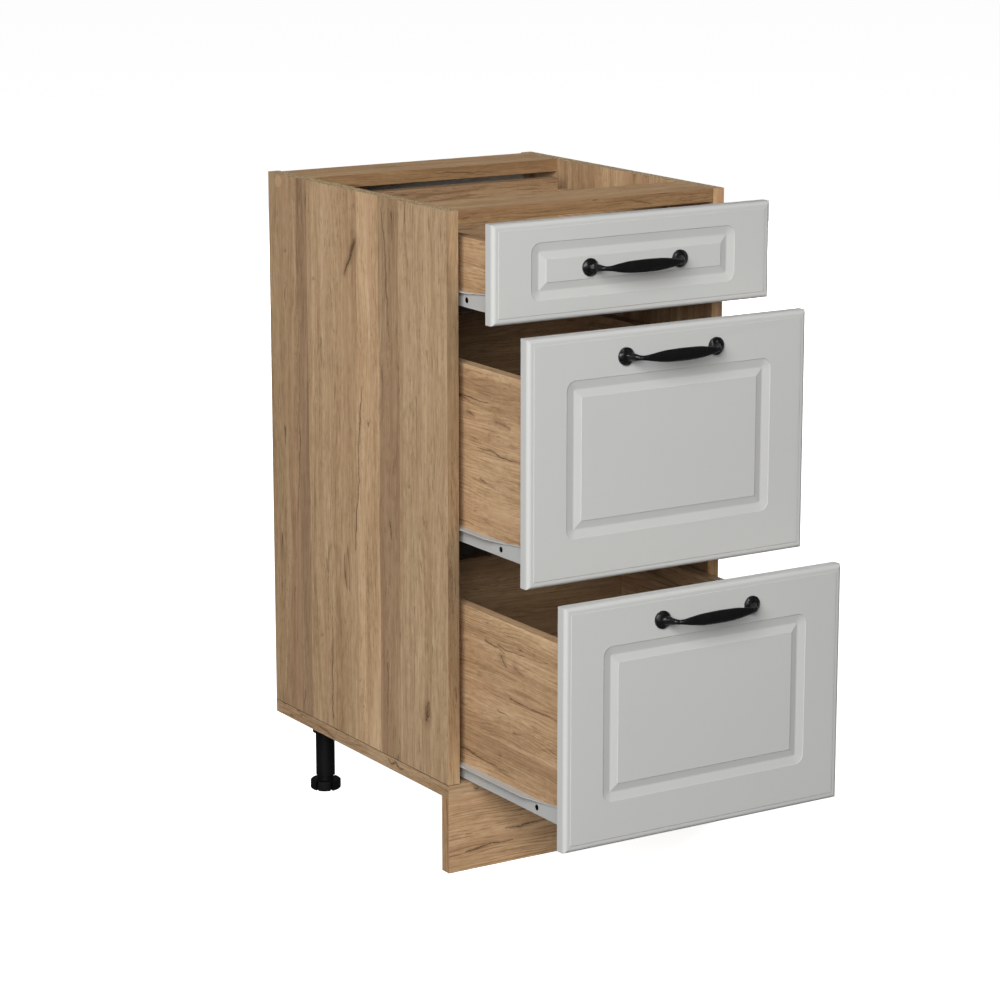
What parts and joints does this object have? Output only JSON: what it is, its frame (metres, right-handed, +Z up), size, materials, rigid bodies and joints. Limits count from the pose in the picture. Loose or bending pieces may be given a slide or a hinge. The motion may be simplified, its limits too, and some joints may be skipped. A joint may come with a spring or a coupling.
{
  "type": "base cabinet with drawers",
  "caption": "Oak-decor kitchen base cabinet on adjustable legs, with light grey framed drawer fronts on roller runners and black bow handles; no worktop.",
  "frame": {"origin": "floor level, centred in width, and centred in depth between the back edge of the carcass and the front of the most open drawer's handle", "axes": "+X to the right seen from the front, +Y to the back, +Z up; the drawers open towards -Y"},
  "size_m": [0.4008, 0.7248, 0.816],
  "materials": {
    "oak_board": "matt oak decor on chipboard, cracks and knots, grain along the board",
    "drawer_oak": "matt oak decor on chipboard, grain along the drawer",
    "front_film": "light grey satin film on fibreboard",
    "white_hardboard": "matt white hardboard",
    "black_handle": "satin black",
    "black_plastic": "matt black",
    "white_steel": "satin white",
    "roller_nylon": "smooth",
    "black_screw": "black oxide",
    "zinc_steel": "bright zinc",
    "cap_plastic": "matt"
  },
  "bodies": {
    "carcass": {"left_side_panel": "oak_board", "right_side_panel": "oak_board", "base_panel": "oak_board", "front_top_rail": "oak_board", "back_top_rail": "oak_board", "back_sheet": "white_hardboard", "plinth_board": "oak_board", "plinth_clips": "black_plastic", "leg_mounting_plates": "black_plastic", "leg_tubes": "black_plastic", "carcass_wood_screws": "black_screw", "carcass_housing_screws": "zinc_steel", "front_rail_fittings": "zinc_steel", "cover_caps": "cap_plastic", "top_cabinet_channels": "white_steel", "middle_cabinet_channels": "white_steel", "bottom_cabinet_channels": "white_steel"},
    "top_drawer": {"top_drawer_front": "front_film", "top_drawer_left_side": "drawer_oak", "top_drawer_right_side": "drawer_oak", "top_drawer_back_board": "drawer_oak", "top_drawer_base_sheet": "white_hardboard", "top_drawer_rails": "white_steel", "top_drawer_handle": "black_handle", "top_drawer_handle_screws": "zinc_steel", "top_drawer_housing_screws": "zinc_steel", "top_drawer_front_cams": "zinc_steel", "top_drawer_wood_screws": "black_screw"},
    "middle_drawer": {"middle_drawer_front": "front_film", "middle_drawer_left_side": "drawer_oak", "middle_drawer_right_side": "drawer_oak", "middle_drawer_back_board": "drawer_oak", "middle_drawer_base_sheet": "white_hardboard", "middle_drawer_rails": "white_steel", "middle_drawer_handle": "black_handle", "middle_drawer_handle_screws": "zinc_steel", "middle_drawer_housing_screws": "zinc_steel", "middle_drawer_front_cams": "zinc_steel", "middle_drawer_wood_screws": "black_screw"},
    "bottom_drawer": {"bottom_drawer_front": "front_film", "bottom_drawer_left_side": "drawer_oak", "bottom_drawer_right_side": "drawer_oak", "bottom_drawer_back_board": "drawer_oak", "bottom_drawer_base_sheet": "white_hardboard", "bottom_drawer_rails": "white_steel", "bottom_drawer_handle": "black_handle", "bottom_drawer_handle_screws": "zinc_steel", "bottom_drawer_housing_screws": "zinc_steel", "bottom_drawer_front_cams": "zinc_steel", "bottom_drawer_wood_screws": "black_screw"},
    "top_cabinet_rollers": {"top_cabinet_rollers": "roller_nylon"},
    "top_drawer_rollers": {"top_drawer_rollers": "roller_nylon"},
    "middle_cabinet_rollers": {"middle_cabinet_rollers": "roller_nylon"},
    "middle_drawer_rollers": {"middle_drawer_rollers": "roller_nylon"},
    "bottom_cabinet_rollers": {"bottom_cabinet_rollers": "roller_nylon"},
    "bottom_drawer_rollers": {"bottom_drawer_rollers": "roller_nylon"},
    "front_left_foot": {"front_left_foot": "black_plastic"},
    "front_right_foot": {"front_right_foot": "black_plastic"},
    "back_left_foot": {"back_left_foot": "black_plastic"},
    "back_right_foot": {"back_right_foot": "black_plastic"}
  },
  "joints": [
    {"name": "top_drawer_slide", "type": "slide", "parent": "carcass", "child": "top_drawer", "axis": [0, -1, 0], "range_m": [-0.081, 0.2175]},
    {"name": "middle_drawer_slide", "type": "slide", "parent": "carcass", "child": "middle_drawer", "axis": [0, -1, 0], "range_m": [-0.157, 0.1415]},
    {"name": "bottom_drawer_slide", "type": "slide", "parent": "carcass", "child": "bottom_drawer", "axis": [0, -1, 0], "range_m": [-0.2365, 0.062]},
    {"name": "top_cabinet_rollers_turn", "type": "hinge", "parent": "carcass", "child": "top_cabinet_rollers", "pos_m": [0, -0.0466, 0.7073], "axis": [1, 0, 0], "range_deg": [-491, 1314]},
    {"name": "top_drawer_rollers_turn", "type": "hinge", "parent": "top_drawer", "child": "top_drawer_rollers", "pos_m": [0, 0.2249, 0.7073], "axis": [1, 0, 0], "range_deg": [-491, 1314]},
    {"name": "middle_cabinet_rollers_turn", "type": "hinge", "parent": "carcass", "child": "middle_cabinet_rollers", "pos_m": [0, -0.0466, 0.4201], "axis": [1, 0, 0], "range_deg": [-949, 855]},
    {"name": "middle_drawer_rollers_turn", "type": "hinge", "parent": "middle_drawer", "child": "middle_drawer_rollers", "pos_m": [0, 0.1489, 0.4201], "axis": [1, 0, 0], "range_deg": [-949, 855]},
    {"name": "bottom_cabinet_rollers_turn", "type": "hinge", "parent": "carcass", "child": "bottom_cabinet_rollers", "pos_m": [0, -0.0466, 0.1231], "axis": [1, 0, 0], "range_deg": [-1428, 376]},
    {"name": "bottom_drawer_rollers_turn", "type": "hinge", "parent": "bottom_drawer", "child": "bottom_drawer_rollers", "pos_m": [0, 0.0694, 0.1231], "axis": [1, 0, 0], "range_deg": [-1428, 376]},
    {"name": "front_left_foot_screw_out", "type": "slide", "parent": "carcass", "child": "front_left_foot", "axis": [0, 0, -1], "range_m": [-0.006, 0.02]},
    {"name": "front_right_foot_screw_out", "type": "slide", "parent": "carcass", "child": "front_right_foot", "axis": [0, 0, -1], "range_m": [-0.006, 0.02]},
    {"name": "back_left_foot_screw_out", "type": "slide", "parent": "carcass", "child": "back_left_foot", "axis": [0, 0, -1], "range_m": [-0.006, 0.02]},
    {"name": "back_right_foot_screw_out", "type": "slide", "parent": "carcass", "child": "back_right_foot", "axis": [0, 0, -1], "range_m": [-0.006, 0.02]}
  ],
  "couplings": [
    {"joint": "top_cabinet_rollers_turn", "follows": "top_drawer_slide", "rad_per_m": 105.26},
    {"joint": "top_drawer_rollers_turn", "follows": "top_drawer_slide", "rad_per_m": 105.26},
    {"joint": "middle_cabinet_rollers_turn", "follows": "middle_drawer_slide", "rad_per_m": 105.26},
    {"joint": "middle_drawer_rollers_turn", "follows": "middle_drawer_slide", "rad_per_m": 105.26},
    {"joint": "bottom_cabinet_rollers_turn", "follows": "bottom_drawer_slide", "rad_per_m": 105.26},
    {"joint": "bottom_drawer_rollers_turn", "follows": "bottom_drawer_slide", "rad_per_m": 105.26}
  ]
}
